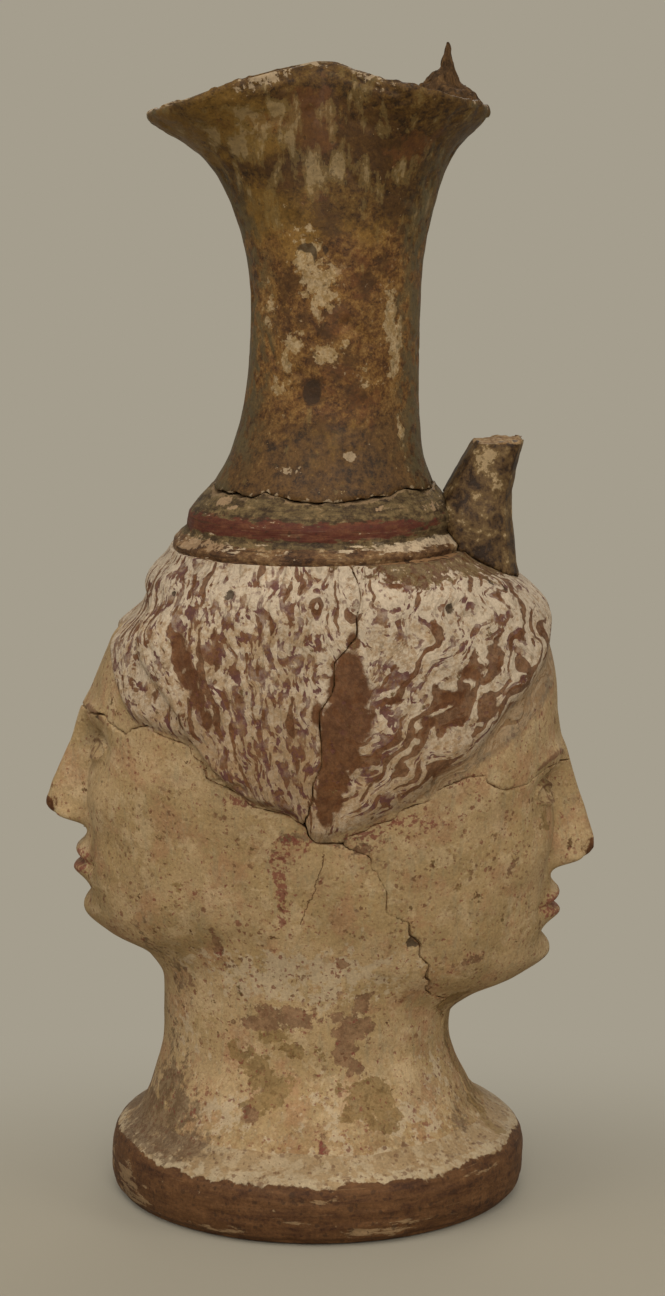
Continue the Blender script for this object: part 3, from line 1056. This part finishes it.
def shapeSherd(piece):
    mesh = piece.data
    points, normals = readPoints(mesh), readVectors(mesh, "normal")
    x, y, height = points.T
    angle, radius = np.arctan2(y, x), np.hypot(x, y)
    skin = skinRadius(angle, height)
    step, turn = 0.05, 0.05 / 30
    slopeUp = (skinRadius(angle, height + step) - skinRadius(angle, height - step)) / (2 * step)
    slopeRound = (skinRadius(angle + turn, height) - skinRadius(angle - turn, height)) / (2 * turn)
    facing = ringPoints(angle, 1) - ringPoints(angle + quarterTurn, slopeRound / skin)
    facing[:, 2] = -slopeUp
    facing = unit(facing)
    lined = (facing * normals).sum(axis=1)
    outer = smooth(0.2, 0.55, lined) * smooth(1.9, 1.0, np.abs(skin - radius))

    broken = (height > jug["footTop"] + 1.0) & (height < jug["collarFoot"] - 1.0)
    edge = edgeDistance(points, np.flatnonzero((outer < 0.4) & (np.abs(skin - radius) < 1.1) & broken), outer)
    snug = (normals - facing * lined[:, None]) * bell(edge * (outer > 0.05), 0.8)[:, None]

    line, mass, quarter = hairField(angle)
    sway = sherds["lockSway"] * grain(points, 5.0, 3) + sherds["lockShake"] * grain(points, 2.2, 4)
    across = strandPlace(angle, height)[0] + sway
    lock = 0.5 + 0.5 * np.cos(fullTurn * across / hair["strandWidth"])
    worn = np.clip(0.35 + 0.8 * grain(points, 4.0, 8), 0.0, 1) * smooth(mass - 0.5, mass + 2.5, height)
    inHair = smooth(line + 1.0, line + 3.4, height) * smooth(116.0, 112.0, height)
    bare = smooth(0.4, 0.8, spotField(angle, height, radius, sherds["bare"]))
    relief = -hair["strandDepth"] * (1 - lock) * worn * inHair * (1 - 0.8 * bare)
    relief += sherds["unevenness"] * (layered(points, 9.0, 20) + 0.5 * grain(points, 2.4, 24))
    relief -= sherds["bareDepth"] * bare * inHair
    for degrees, level, size, depth in sherds["pits"]:
        reach = np.hypot(turnFrom(degrees, angle) * radius, height - level)
        relief -= depth * smooth(size * 1.2, size * 0.6, reach)
    relief -= sherds["chipDepth"] * smooth(0.25, 0.8, layered(points, 2.2, 31)) * bell(edge, 0.45)

    rough = (1 - outer) * sherds["tornGrain"] * layered(points, 1.6, 41, 2)
    # the cracks are drawn together unevenly, and more between the lower sherds
    closing = sherds["closing"] + sherds["closingSway"] * grain(points, 4.0, 45)
    closing = closing + sherds["faceClosing"] * smooth(68, 64, height)
    moved = points + normals * rough[:, None] + snug * closing[:, None]
    moved += ringPoints(angle, mix(radius, skin + relief, outer) - radius)
    moved[:, 2] += jug["gap"] * (smooth(114.5, 116.0, height) - smooth(14.5, 12.4, height))
    low, high = (corner.x / millimetre for corner in cadBox)
    moved[:, 0] = np.clip(moved[:, 0], low + sherds["boxMargin"], high - sherds["boxMargin"])
    movePoints(mesh, moved)
    paintSherd(mesh, angle, height, skin, outer, edge)


def refineFace(piece):
    # a finer grid where the eyes, nose and lips are
    mesh = piece.data
    x, y, z = readPoints(mesh).T
    up = facePlace(np.arctan2(y, x), z, 1.0)[1]
    chosen = (up > 0.45) & (up < 2.15) & (np.abs(y) / jug["unit"] < 0.8) & (np.abs(x) > 32)
    form = bmesh.new()
    form.from_mesh(mesh)
    edges = [edge for edge in form.edges if all(chosen[vertex.index] for vertex in edge.verts)]
    bmesh.ops.subdivide_edges(form, edges=edges, cuts=1, use_grid_fill=True)
    form.to_mesh(mesh)
    form.free()


for pieceName, node, slotName, voxel in sherds["pieces"]:
    sherd = fineCopy(pieceName, node, voxel)
    refineFace(sherd)
    shapeSherd(sherd)
    settle(sherd, node, headsFinish)
print("heads made")


# The thrown neck and its trefoil mouth

neck = {
    "lean": [(116.3, 0), (127, 1.3), (148, 3), (160, 3.45)],
    "stem": [
        (116.3, 25.6), (117.3, 25.9), (118.3, 24.86), (119.98, 23.3), (121.82, 23.3), (123.7, 22.4),
        (127, 19.7), (133.3, 16.82), (139.6, 15.524), (148, 14.9), (160, 14.8)],
    "bore": [(116.3, 20.7), (127, 15.9), (148, 11.1), (160, 11)],
    "breakLine": [
        (0, 0.3), (40, -0.5), (85, 0.6), (130, -0.4), (170, 0.2), (199, -0.3), (231, -0.3), (238.5, 0.7),
        (256, -0.5), (266, -1), (287, -0.3), (305, 0), (315, 0.6), (342, -0.2)],
    "stemShare": 0.55, "flareRadius": 14.8, "spoutReach": 33.0, "backReach": 27.0, "pinchReach": 14.0,
    "spoutRise": 28.8, "backRise": 29.6, "pinchRise": 39.8, "wall": 3.8, "lip": 2.4, "pinchAngle": 98,
    "reach": [
        (0, 1), (38, 0.97), (60, 0.83), (78, 0.45), (91, 0.07), (98, 0), (105, 0.07), (118, 0.36),
        (132, 0.64), (150, 0.86), (168, 0.98), (180, 1)],
    "drop": [
        (0, 1), (38, 0.76), (51, 0.66), (67, 0.5), (82, 0.24), (98, 0), (108, 0.1), (123, 0.33), (135, 0.53),
        (152, 0.8), (168, 0.95), (180, 1)],
    "around": 300, "along": 236, "inset": 0.9, "dome": 0.4, "swell": 0.22, "tooth": 0.05, "pitDepth": 0.3,
    "lipChip": 0.5, "breakChip": 0.35, "hollowGrain": 0.16,
    # shares of the ring where the torn face, the outer skin and the lip end
    "ends": (0.05, 0.56, 0.62),
    "cream": withFarSide([
        (264, 167.2, 2.4, 2.6, 0.95), (272, 163, 2.6, 2.2, 0.9), (279.5, 164.8, 2, 1.6, 0.8),
        (274.8, 160.6, 2.4, 1.7, 1), (271.6, 157.6, 0.9, 1.1, 0.8), (255.6, 152.8, 1.3, 1.9, 0.9),
        (277, 151.2, 2.4, 1.7, 0.95), (247.4, 149.8, 0.9, 3.4, 0.85), (239, 145.2, 1.2, 1.3, 0.8),
        (318, 157.2, 1.2, 4.6, 1), (322, 151, 1.3, 4.4, 1), (325, 154, 1, 3, 0.8), (287, 153, 1, 0.9, 0.7),
        (306, 146, 2.4, 0.5, 0.7), (300, 148, 1, 2, 0.5), (230, 158, 1.6, 5, 0.5), (261, 172, 2.4, 1.2, 0.5),
        (326, 138, 1, 4, 0.6)], 11, -2),
    "streaked": withFarSide([
        (266.6, 181.2, 1.1, 5, 1.3), (284, 183.6, 1.4, 2.4, 1), (299, 181.6, 0.9, 3.6, 1.2),
        (250, 187.6, 1.6, 3.6, 1.2), (228, 186, 4, 4, 1.1), (240, 179, 6, 2.4, 0.8),
        (280, 189.2, 0.7, 5, 1.2), (236, 189, 3, 3, 1.2), (215, 186.6, 4, 2.4, 1.2), (246, 192, 3, 2.4, 1),
        (306, 180, 3, 3, 0.8), (330, 170, 3, 9, 0.7)], 0, 0),
    "gold": withFarSide([
        (254, 170, 8, 4, 0.7), (236, 174, 8, 7, 0.75), (214, 187, 12, 4, 1.1), (228, 190, 10, 4, 1),
        (196, 187, 10, 4, 1), (262, 187, 1.8, 6, 0.5), (285, 136, 12, 5, 0.35), (300, 172, 7, 4, 0.5)], 0, 0),
    "rust": withFarSide([
        (240, 190, 7, 2.4, 0.6), (268, 190, 4, 7, 1), (322, 186, 5, 3, 0.8), (262, 178, 5, 2, 0.6),
        (300, 164, 7, 5, 0.55), (286, 156, 5, 4, 0.5), (290, 144, 10, 7, 0.5)], 0, 0),
    "dark": withFarSide([
        (266, 191, 6, 4, 1.2), (277, 174, 3, 3.4, 0.8), (246, 158, 2, 6, 0.6), (294, 187, 6, 6, 1),
        (276, 187, 3.4, 6, 0.9), (268, 188, 2, 7, 0.9), (262, 163.4, 1.2, 1, 1.1), (278, 155, 1.6, 1.2, 1),
        (284, 147.6, 2, 1.4, 1), (260, 157, 1.4, 1.4, 0.9), (296, 144, 2.4, 2.4, 0.9),
        (268, 150, 1.4, 1, 0.9), (308, 184, 6, 4, 0.9), (318, 176, 5, 4, 0.8), (254, 182.6, 6, 1.7, 1.2),
        (262, 181, 4, 1.5, 1.1), (242, 180, 5, 1.5, 0.8), (249, 163, 1.6, 2, 1.1), (271.6, 163, 2, 1.6, 1.1),
        (300, 163, 2.4, 2, 1.1), (312, 166, 2, 2.4, 0.8), (284, 158, 2.4, 2, 0.8), (268, 145, 2, 2.2, 1),
        (222, 184, 7, 3, 0.6), (290, 150, 2.4, 3, 0.6), (278, 139, 3, 2, 0.6)], 0, 0),
    "stain": [
        (263.6, 169.2, 1.5, 0.75, 1.2), (269.4, 168.2, 0.5, 0.55, 1), (276.4, 168.6, 0.6, 0.7, 1),
        (269.4, 166.4, 0.6, 0.5, 0.9), (267, 144.4, 1.5, 1.9, 1.1), (268.6, 145.8, 1.3, 1, 1)],
    "chips": [(290, 133.8, 0.75, 0.6, 1.6), (254, 131.5, 2.2, 0.5, 0.8)],
}
neckShift, stemOutline, bore = (smoothCurve(neck[key]) for key in ("lean", "stem", "bore"))
rimReach, rimDrop = smoothCurve(neck["reach"]), smoothCurve(neck["drop"])
neckBreak = aroundCurve(neck["breakLine"])


def aroundNeck(angle, radius, height):
    points = ringPoints(angle, radius, height)
    points[:, 0] += neckShift(height)
    return points


def wayParts(way):
    # way 0 is the collar's foot and way 1 the rim: height on the stem, and share of the mouth
    height = mix(jug["collarFoot"], jug["mouthFoot"], portion(0, neck["stemShare"], way))
    return height, portion(neck["stemShare"], 1, way), way <= neck["stemShare"]


def neckSkin(angle, way):
    degrees = np.abs(np.mod(np.degrees(angle) + 180, 360) - 180)
    isSpout = degrees > neck["pinchAngle"]
    reach, rise = (mix(neck["pinch" + end], np.where(isSpout, neck["spout" + end], neck["back" + end]), share)
                   for end, share in (("Reach", rimReach(degrees)), ("Rise", rimDrop(degrees))))
    stemHeight, share, isStem = wayParts(way)
    climb = mix(1 - (1 - share) ** 2.2, share, 0.2)
    height = np.where(isStem, stemHeight, mix(jug["mouthFoot"], jug["mouthFoot"] + rise, climb))
    radius = np.where(isStem, stemOutline(stemHeight), mix(neck["flareRadius"], reach, share ** 1.6))
    return aroundNeck(angle, radius, height)


def neckFacing(angle, way):
    small = 1e-3
    up = neckSkin(angle, np.minimum(way + small, 1)) - neckSkin(angle, np.maximum(way - small, 0))
    turn = neckSkin(angle + small, way) - neckSkin(angle - small, way)
    return unit(np.cross(turn, up))


def neckHollow(angle, way):
    height, share, isStem = wayParts(way)
    thickness = mix(neck["wall"], neck["lip"], share)
    mouthPart = neckSkin(angle, way) - neckFacing(angle, way) * thickness[:, None]
    return np.where(isStem[:, None], aroundNeck(angle, bore(height), height), mouthPart)


def breakLevel(angle, side):
    # the torn line between neck and collar, on the neck's side (1) or the collar's (-1)
    around = ringPoints(angle, 20)
    ragged = 0.3 * layered(around, 3.0, 55)
    opening = 0.07 + 0.26 * smooth(0.0, 0.9, grain(around, 4.5, 61)) + 0.08 * np.abs(grain(around, 0.9, 62))
    return jug["neckFoot"] + neckBreak(degreesOf(angle)) + ragged + side * opening


def makeNeck():
    piece, angle, share = spunRing("neckAndMouth", neck)
    torn, skinEnd, lipEnd = neck["ends"]
    ends, asPoints = neck["ends"], share[:, None]
    broken, one = breakLevel(angle, 1), np.ones_like(angle)
    foot = neck["stemShare"] * (broken - jug["collarFoot"]) / (jug["mouthFoot"] - jug["collarFoot"])
    outerWay = mix(foot, 1, portion(torn, skinEnd, share) ** 0.96)
    innerWay = mix(1, foot, portion(lipEnd, 1, share))
    lipShare = portion(skinEnd, lipEnd, share)
    dome = np.sqrt(arch(2 * lipShare - 1, 1))
    rim = neckSkin(angle, one)
    lip = rim - neckFacing(angle, one) * mix(neck["inset"], neck["lip"], lipShare)[:, None]
    lip[:, 2] += neck["dome"] * dome
    tornFace = mix(neckHollow(angle, foot), neckSkin(angle, foot), portion(0, torn, share)[:, None])
    points = ringParts(asPoints, ends, tornFace, neckSkin(angle, outerWay), lip, neckHollow(angle, innerWay))
    # the lip is rounded over, towards the rim
    back = ringParts(share, ends[1:], portion(0.93, 1, outerWay) ** 2, 1 - dome,
                     portion(0.93, 1, innerWay) ** 2)
    points = points - unit(rim - neckSkin(angle, one * 0.98)) * (neck["inset"] * back)[:, None]
    # hand-made unevenness, pits and a chipped lip
    x, y, height = points.T
    isSkin = smooth(0.0, torn, share) * smooth(skinEnd + 0.06, skinEnd, share)
    way = np.where(share < lipEnd, np.minimum(outerWay, 1), innerWay)
    facing = neckFacing(angle, np.clip(way, foot, 0.999))
    relief = isSkin * (neck["swell"] * layered(points, 11.0, 71) + neck["tooth"] * layered(points, 1.8, 75, 2))
    relief -= isSkin * neck["pitDepth"] * smooth(0.35, 0.8, layered(points, 3.4, 78)) * smooth(140, 150, height)
    relief -= (share < skinEnd) * neck["inset"] * portion(0.9, 1, outerWay) ** 2
    nearLip = bell(share - 0.59, 0.045)
    relief -= nearLip * neck["lipChip"] * smooth(0.0, 0.6, layered(points, 3.2, 83))
    above = height - broken
    relief -= isSkin * neck["breakChip"] * bell(above, 0.7) * smooth(-0.1, 0.6, layered(points, 2.2, 87))
    about, body = np.arctan2(y, x), np.hypot(x, y)
    marks = {key: spotField(about, height, np.maximum(body, 12), neck[key])
             for key in ("cream", "streaked", "gold", "rust", "dark", "stain")}
    chip = spotField(about, height, body, neck["chips"])
    relief -= 0.25 * np.clip(chip, 0, 1) + 0.15 * np.clip(marks["stain"], 0, 1)
    relief -= (share > lipEnd) * neck["hollowGrain"] * layered(points, 6.0, 91)
    movePoints(piece.data, points + facing * relief[:, None])
    crest = nearLip * (0.5 + 0.3 * (np.cos(about) < 0)) * smooth(-0.6, 0.4, grain(points, 9.0, 95))
    keepFields(piece.data, rubbed=np.maximum.reduce([crest, chip, 0.45 * bell(above, 0.3)]), **marks)
    settle(piece, "neck_and_mouth", glazeFinish)


# The shoulder collar with its mouldings

collar = {
    "around": 420, "along": 120, "underlap": 0.9, "inset": 0.1, "swell": 0.2, "sweep": 0.07, "lipLevel": 117.4,
    "lipGrain": 0.5, "lipInset": 0.35, "breakChip": 0.5, "tornGrain": 0.2, "sway": 0.35,
    "red": (121.7, 1.9), "white": (118.6, 0.85), "brown": (119.6, 118.2),
    # shares of the ring where the seat, the outer skin and the torn face end
    "ends": (0.1, 0.68, 0.78),
    "redFade": [
        (0, 0.35), (60, 0.8), (120, 0.9), (180, 0.85), (215, 0.9), (250, 1), (285, 0.95), (305, 0.75),
        (325, 0.5), (345, 0.35)],
    "whiteFade": [
        (0, 0.7), (90, 0.3), (180, 0.3), (215, 0.34), (245, 0.2), (270, 0.24), (290, 0.6), (305, 1.15),
        (325, 1.15), (345, 0.9)],
    "smears": [
        (215, 125.6, 2.4, 0.8, 0.9), (224, 125, 1.6, 0.6, 0.7), (330, 124.5, 3, 0.8, 0.6),
        (300, 125.2, 2.4, 0.6, 0.5), (208, 118.2, 3, 1.2, 0.8), (222, 118.6, 3, 0.9, 0.7)],
    # height, half width and strength of the dirt in the corners
    "grime": [(123.6, 0.5, 0.5), (119.7, 0.4, 0.55), (116.3, 0.4, 0.5)],
}
redFade, whiteFade = aroundCurve(collar["redFade"]), aroundCurve(collar["whiteFade"])


def makeCollar():
    piece, angle, share = spunRing("shoulderCollar", collar)
    seatEnd, skinEnd, tornEnd = collar["ends"]
    low, top = jug["collarFoot"] - collar["underlap"] + 0 * angle, breakLevel(angle, -1)
    outerHeight = mix(low, top, portion(seatEnd, skinEnd, share))
    innerHeight = mix(top, low, portion(tornEnd, 1, share))
    skirt = skinRadius(angle, np.minimum(outerHeight, jug["collarFoot"])) - collar["inset"]
    outerRadius = np.where(outerHeight < jug["collarFoot"], skirt, stemOutline(outerHeight))
    seatOuter = aroundNeck(angle, skinRadius(angle, low) - collar["inset"], low)
    seat = mix(aroundNeck(angle, bore(low), low), seatOuter, portion(0, seatEnd, share)[:, None])
    tornFace = mix(aroundNeck(angle, stemOutline(top), top), aroundNeck(angle, bore(top), top),
                   portion(skinEnd, tornEnd, share)[:, None])
    points = ringParts(share[:, None], collar["ends"], seat, aroundNeck(angle, outerRadius, outerHeight),
                       tornFace, aroundNeck(angle, bore(innerHeight), innerHeight))
    isSkin = smooth(seatEnd * 0.7, seatEnd * 1.2, share) * smooth(skinEnd + 0.02, skinEnd - 0.02, share)
    height = points[:, 2]
    below = top - height
    relief = collar["swell"] * layered(points * (1, 1, 2.2), 9.0, 101)
    relief += collar["sweep"] * layered(points * (0.3, 0.3, 2.4), 2.0, 105, 2)
    lipGrain = collar["lipGrain"] * layered(points * (1, 1, 0.6), 5.0, 109)
    relief += bell(height - collar["lipLevel"], 1.5) * (lipGrain - collar["lipInset"])
    relief -= collar["breakChip"] * bell(below, 0.8) * smooth(-0.2, 0.6, layered(points, 2.4, 113))
    moved = points + ringPoints(angle, relief * isSkin)
    moved[:, 2] += (share > skinEnd) * (share < tornEnd) * collar["tornGrain"] * layered(points, 1.8, 117, 2)
    movePoints(piece.data, moved)
    level = height - collar["sway"] * layered(ringPoints(angle, 25), 8.0, 121)
    redBand, whiteLine = (fade(degreesOf(angle)) * bell(level - collar[key][0], collar[key][1]) * isSkin
                          for key, fade in (("red", redFade), ("white", whiteFade)))
    keepFields(
        piece.data, redBand=redBand, whiteLine=whiteLine, brownEdge=smooth(*collar["brown"], height),
        rubbed=spotField(angle, height, 22.0, collar["smears"]) * isSkin,
        grime=sum(strength * bell(height - at, half) for at, half, strength in collar["grime"]),
        edge=np.where(isSkin > 0.3, np.abs(below), 0.0))
    settle(piece, "shoulder_collar", collarFinish)


# The ring foot

foot = {
    "around": 380, "along": 150, "under": 0.47, "fillet": 1.5, "swell": 0.24, "sweep": 0.07, "rub": 0.35,
    "inset": 0.25, "ledgeGrain": 0.12,
    "profile": [
        (25.5, 3), (25.5, 0.4), (25.9, 0), (34.6, 0), (35.8, 0.35), (36.9, 1.4), (37.4, 3.4), (37.5, 5.6),
        (37.45, 7.9), (37.1, 9.5), (36.4, 10.7), (35.5, 11.5), (34.5, 12), (33.7, 12.5), (33, 13.2),
        (32, 14.2), (31, 15.6), (28.8, 15.6), (28.8, 12), (28.8, 3), (27, 3), (25.5, 3)],
    "smears": withFarSide([
        (205, 4.5, 5, 3.2, 0.7), (212, 2.4, 6, 1.8, 0.6), (240, 2, 8, 1, 0.45), (262, 4.6, 6, 0.9, 0.4),
        (285, 2.6, 8, 1.2, 0.6), (296, 3.6, 8, 0.8, 0.5), (272, 8.4, 4, 1, 0.45), (320, 9, 6, 0.7, 0.4),
        (186, 6, 4, 3, 0.5)], 15, 0.5),
}


def makeFoot():
    piece, angle, share = spunRing("ringFoot", foot)
    corners = np.array(foot["profile"])
    lengths = np.hypot(*np.diff(corners, axis=0).T) * np.where(corners[:-1, 0] > 30, 1.6, 0.8)
    weights = np.append(0, np.cumsum(lengths))  # more rows outside, where they show
    way = np.mod(share + 0.02, 1) * weights[-1]
    radius, height = (np.interp(way, weights, corners[:, i]) for i in (0, 1))
    hug = smooth(11.6, 12.2, height) * (radius > 30)
    fillet = foot["fillet"] * np.exp(-np.maximum(height - 12, 0) / 0.9) - 0.5 * smooth(14.2, 15.6, height)
    skin = skinRadius(angle, height)
    radius = mix(radius, skin + fillet, hug)
    radius = np.where(height > 15.5, np.minimum(radius, skin - foot["under"]), radius)
    points = ringPoints(angle, radius, height)
    isSkin = smooth(32.0, 34.5, radius) * smooth(0.0, 1.0, height) * (1 - hug)
    relief = foot["swell"] * layered(points * (1, 1, 1.6), 14.0, 131) - foot["inset"]
    relief += foot["sweep"] * layered(points * (0.25, 0.25, 2.0), 2.0, 135, 2)
    relief -= foot["rub"] * smooth(0.2, 0.8, layered(points, 4.0, 139)) * bell(height - 1.2, 1.4)
    moved = points + ringPoints(angle, relief * isSkin)
    moved[:, 2] += smooth(10, 12, height) * (1 - hug) * foot["ledgeGrain"] * layered(points, 5.0, 143)
    moved[:, 2] = np.maximum(moved[:, 2], 0)
    movePoints(piece.data, moved)
    sway = layered(ringPoints(angle, 37), 7.0, 147)
    dirt = {key: spotField(angle, height, jug["footReach"], sherds[key]) for key in ("grime", "olive")}
    keepFields(
        piece.data, slip=smooth(37.0, 35.4, radius - 0.5 * sway) * smooth(8.8, 10.8, height) * 1.2,
        white=bell(radius - 35.6 - 0.4 * sway, 1.6) * 0.66,
        smear=spotField(angle, height, 37.5, foot["smears"]), **dirt)
    settle(piece, "foot_ring", footFinish)


makeNeck()
makeCollar()
makeFoot()
print("neck, collar and foot made")


# The two stumps of the handle

handleClay = {"swell": 0.14, "tooth": 0.05, "inset": 0.08, "smear": 0.34, "flakedFlank": (29.8, 130)}
stumps = [
    {"name": "handleRootStump", "node": "handle_root", "voxel": 0.3, "snapFrom": 134.4, "joint": (126, 122),
     "splinter": 0.3, "finish": stumpFinish},
    {"name": "rimSpurStump", "node": "handle_spur", "voxel": 0.2, "snapFrom": 190.5, "joint": (189.4, 188.4),
     "splinter": 0.6, "finish": spurFinish},
]


def makeStump(stump):
    piece = fineCopy(stump["name"], stump["node"], stump["voxel"])
    mesh = piece.data
    points, normals = readPoints(mesh), readVectors(mesh, "normal")
    x, y, height = points.T
    snapped = smooth(stump["snapFrom"] - 0.6, stump["snapFrom"] + 0.8, height + 0.8 * grain(points, 3.0, 151))
    relief = handleClay["swell"] * layered(points, 5.0, 153) - handleClay["inset"]
    relief += handleClay["tooth"] * layered(points, 1.2, 155, 2)
    relief += snapped * stump["splinter"] * (layered(points * (1, 1, 0.3), 1.6, 157) - 0.4)
    relief += handleClay["smear"] * smooth(*stump["joint"], height)  # its foot is smeared onto the jug
    movePoints(mesh, points + normals * relief[:, None])
    across, up = handleClay["flakedFlank"]
    flank = bell(x - across, 1.5) * bell(height - up, 4.5)
    keepFields(mesh, snapped=snapped, flaked=0.2 * grain(points, 6.0, 159) + 1.3 * flank)
    settle(piece, stump["node"], stump["finish"])


for stump in stumps:
    makeStump(stump)
seams = [side + "_seam_roll_" + part for side in ("near", "far") for part in ("upper", "lower")]
for node in (*seams, "neck_joint_roll", "foot_joint_roll"):
    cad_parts[node].material_slots[0].material = rollFinish
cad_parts["floor_disc"].material_slots[0].material = innerFinish
print("stumps made, inner pieces finished")


# Floor, lights and camera

stage = {"floor": tone(152, 145, 129), "haze": tone(165, 158, 142), "air": (1.0, 0.985, 0.96, 1.0),
         "floorRadius": 6.0, "ambient": 0.28}
softboxes = {
    "tint": (1.0, 0.97, 0.92), "aim": (0, 0, 0.1),
    # name, place, size, watts
    "boxes": [("overheadSoftbox", (-0.15, -0.35, 1.1), 0.9, 5.4),
              ("frontSoftbox", (0.1, -1.3, 0.75), 0.9, 10.4), ("leftSoftbox", (-1.1, -0.6, 0.6), 0.6, 3.2),
              ("rightSoftbox", (1.1, -0.5, 0.6), 0.6, 3.2), ("backSoftbox", (0.2, 1.2, 0.8), 0.8, 4.0)],
}
camera = {"place": (0.002823, -0.5916, 0.2053), "down": 10.302, "lens": 94.44, "sensor": 36.0}


def seenByCamera(tree):
    rays = add(tree, "ShaderNodeLightPath").outputs
    return most(*(Value(tree, rays["Is " + kind + " Ray"]) for kind in ("Camera", "Glossy", "Transmission")))


def hazed(share, plainKind, plain, hazeKind, output):
    # the plain look, and an even haze in its place where share says so
    tree, haze = share.tree, {"Color": stage["haze"], "Strength": 1.0}
    under, over = (Value(tree, add(tree, kind, inputs).outputs[0])
                   for kind, inputs in ((plainKind, plain), (hazeKind, haze)))
    add(tree, output, {"Surface": made("ShaderNodeMixShader", 0, {0: share, 1: under, 2: over})})


def makeFloor():
    form = bmesh.new()
    bmesh.ops.create_circle(form, cap_ends=True, cap_tris=False, segments=96, radius=stage["floorRadius"])
    floor = newObject("studioFloor", newMesh("studioFloor", form))
    material = bpy.data.materials.new("paleFloor")
    where = coordinates(emptyTree(material), "Object")
    away = made("ShaderNodeVectorMath", "Value", {0: where}, operation="LENGTH")
    behind = made("ShaderNodeSeparateXYZ", "Y", {0: where})
    far = most(ramp(behind, -0.04, 0.09), ramp(away, 0.25, 0.6))
    hazed(far * seenByCamera(where.tree), "ShaderNodeBsdfDiffuse", {"Color": stage["floor"]},
          "ShaderNodeEmission", "ShaderNodeOutputMaterial")
    floor.data.materials.append(material)


def makeWorld():
    world = bpy.data.worlds.new("studioAir")
    air = {"Color": stage["air"], "Strength": stage["ambient"]}
    hazed(seenByCamera(emptyTree(world)), "ShaderNodeBackground", air, "ShaderNodeBackground",
          "ShaderNodeOutputWorld")
    bpy.context.scene.world = world


def makeLights():
    for name, place, size, watts in softboxes["boxes"]:
        lamp = bpy.data.lights.new(name, "AREA")
        lamp.shape, lamp.size, lamp.energy, lamp.color = "DISK", size, watts, softboxes["tint"]
        box = newObject(name, lamp)
        box.location = place
        box.rotation_euler = (Vector(softboxes["aim"]) - box.location).to_track_quat("-Z", "Y").to_euler()


def makeCamera():
    lens = bpy.data.cameras.new("photoCamera")
    lens.sensor_fit = "VERTICAL"
    lens.sensor_height, lens.lens = camera["sensor"], camera["lens"]
    lens.clip_start, lens.clip_end = 0.01, 50
    eye = newObject("photoCamera", lens)
    eye.location = camera["place"]
    eye.rotation_euler = (math.radians(90 - camera["down"]), 0, 0)
    bpy.context.scene.camera = eye


makeFloor()
makeWorld()
makeLights()
makeCamera()
bpy.context.scene.view_settings.view_transform = "Standard"
print("stage, lights and camera set")

print("size kept")
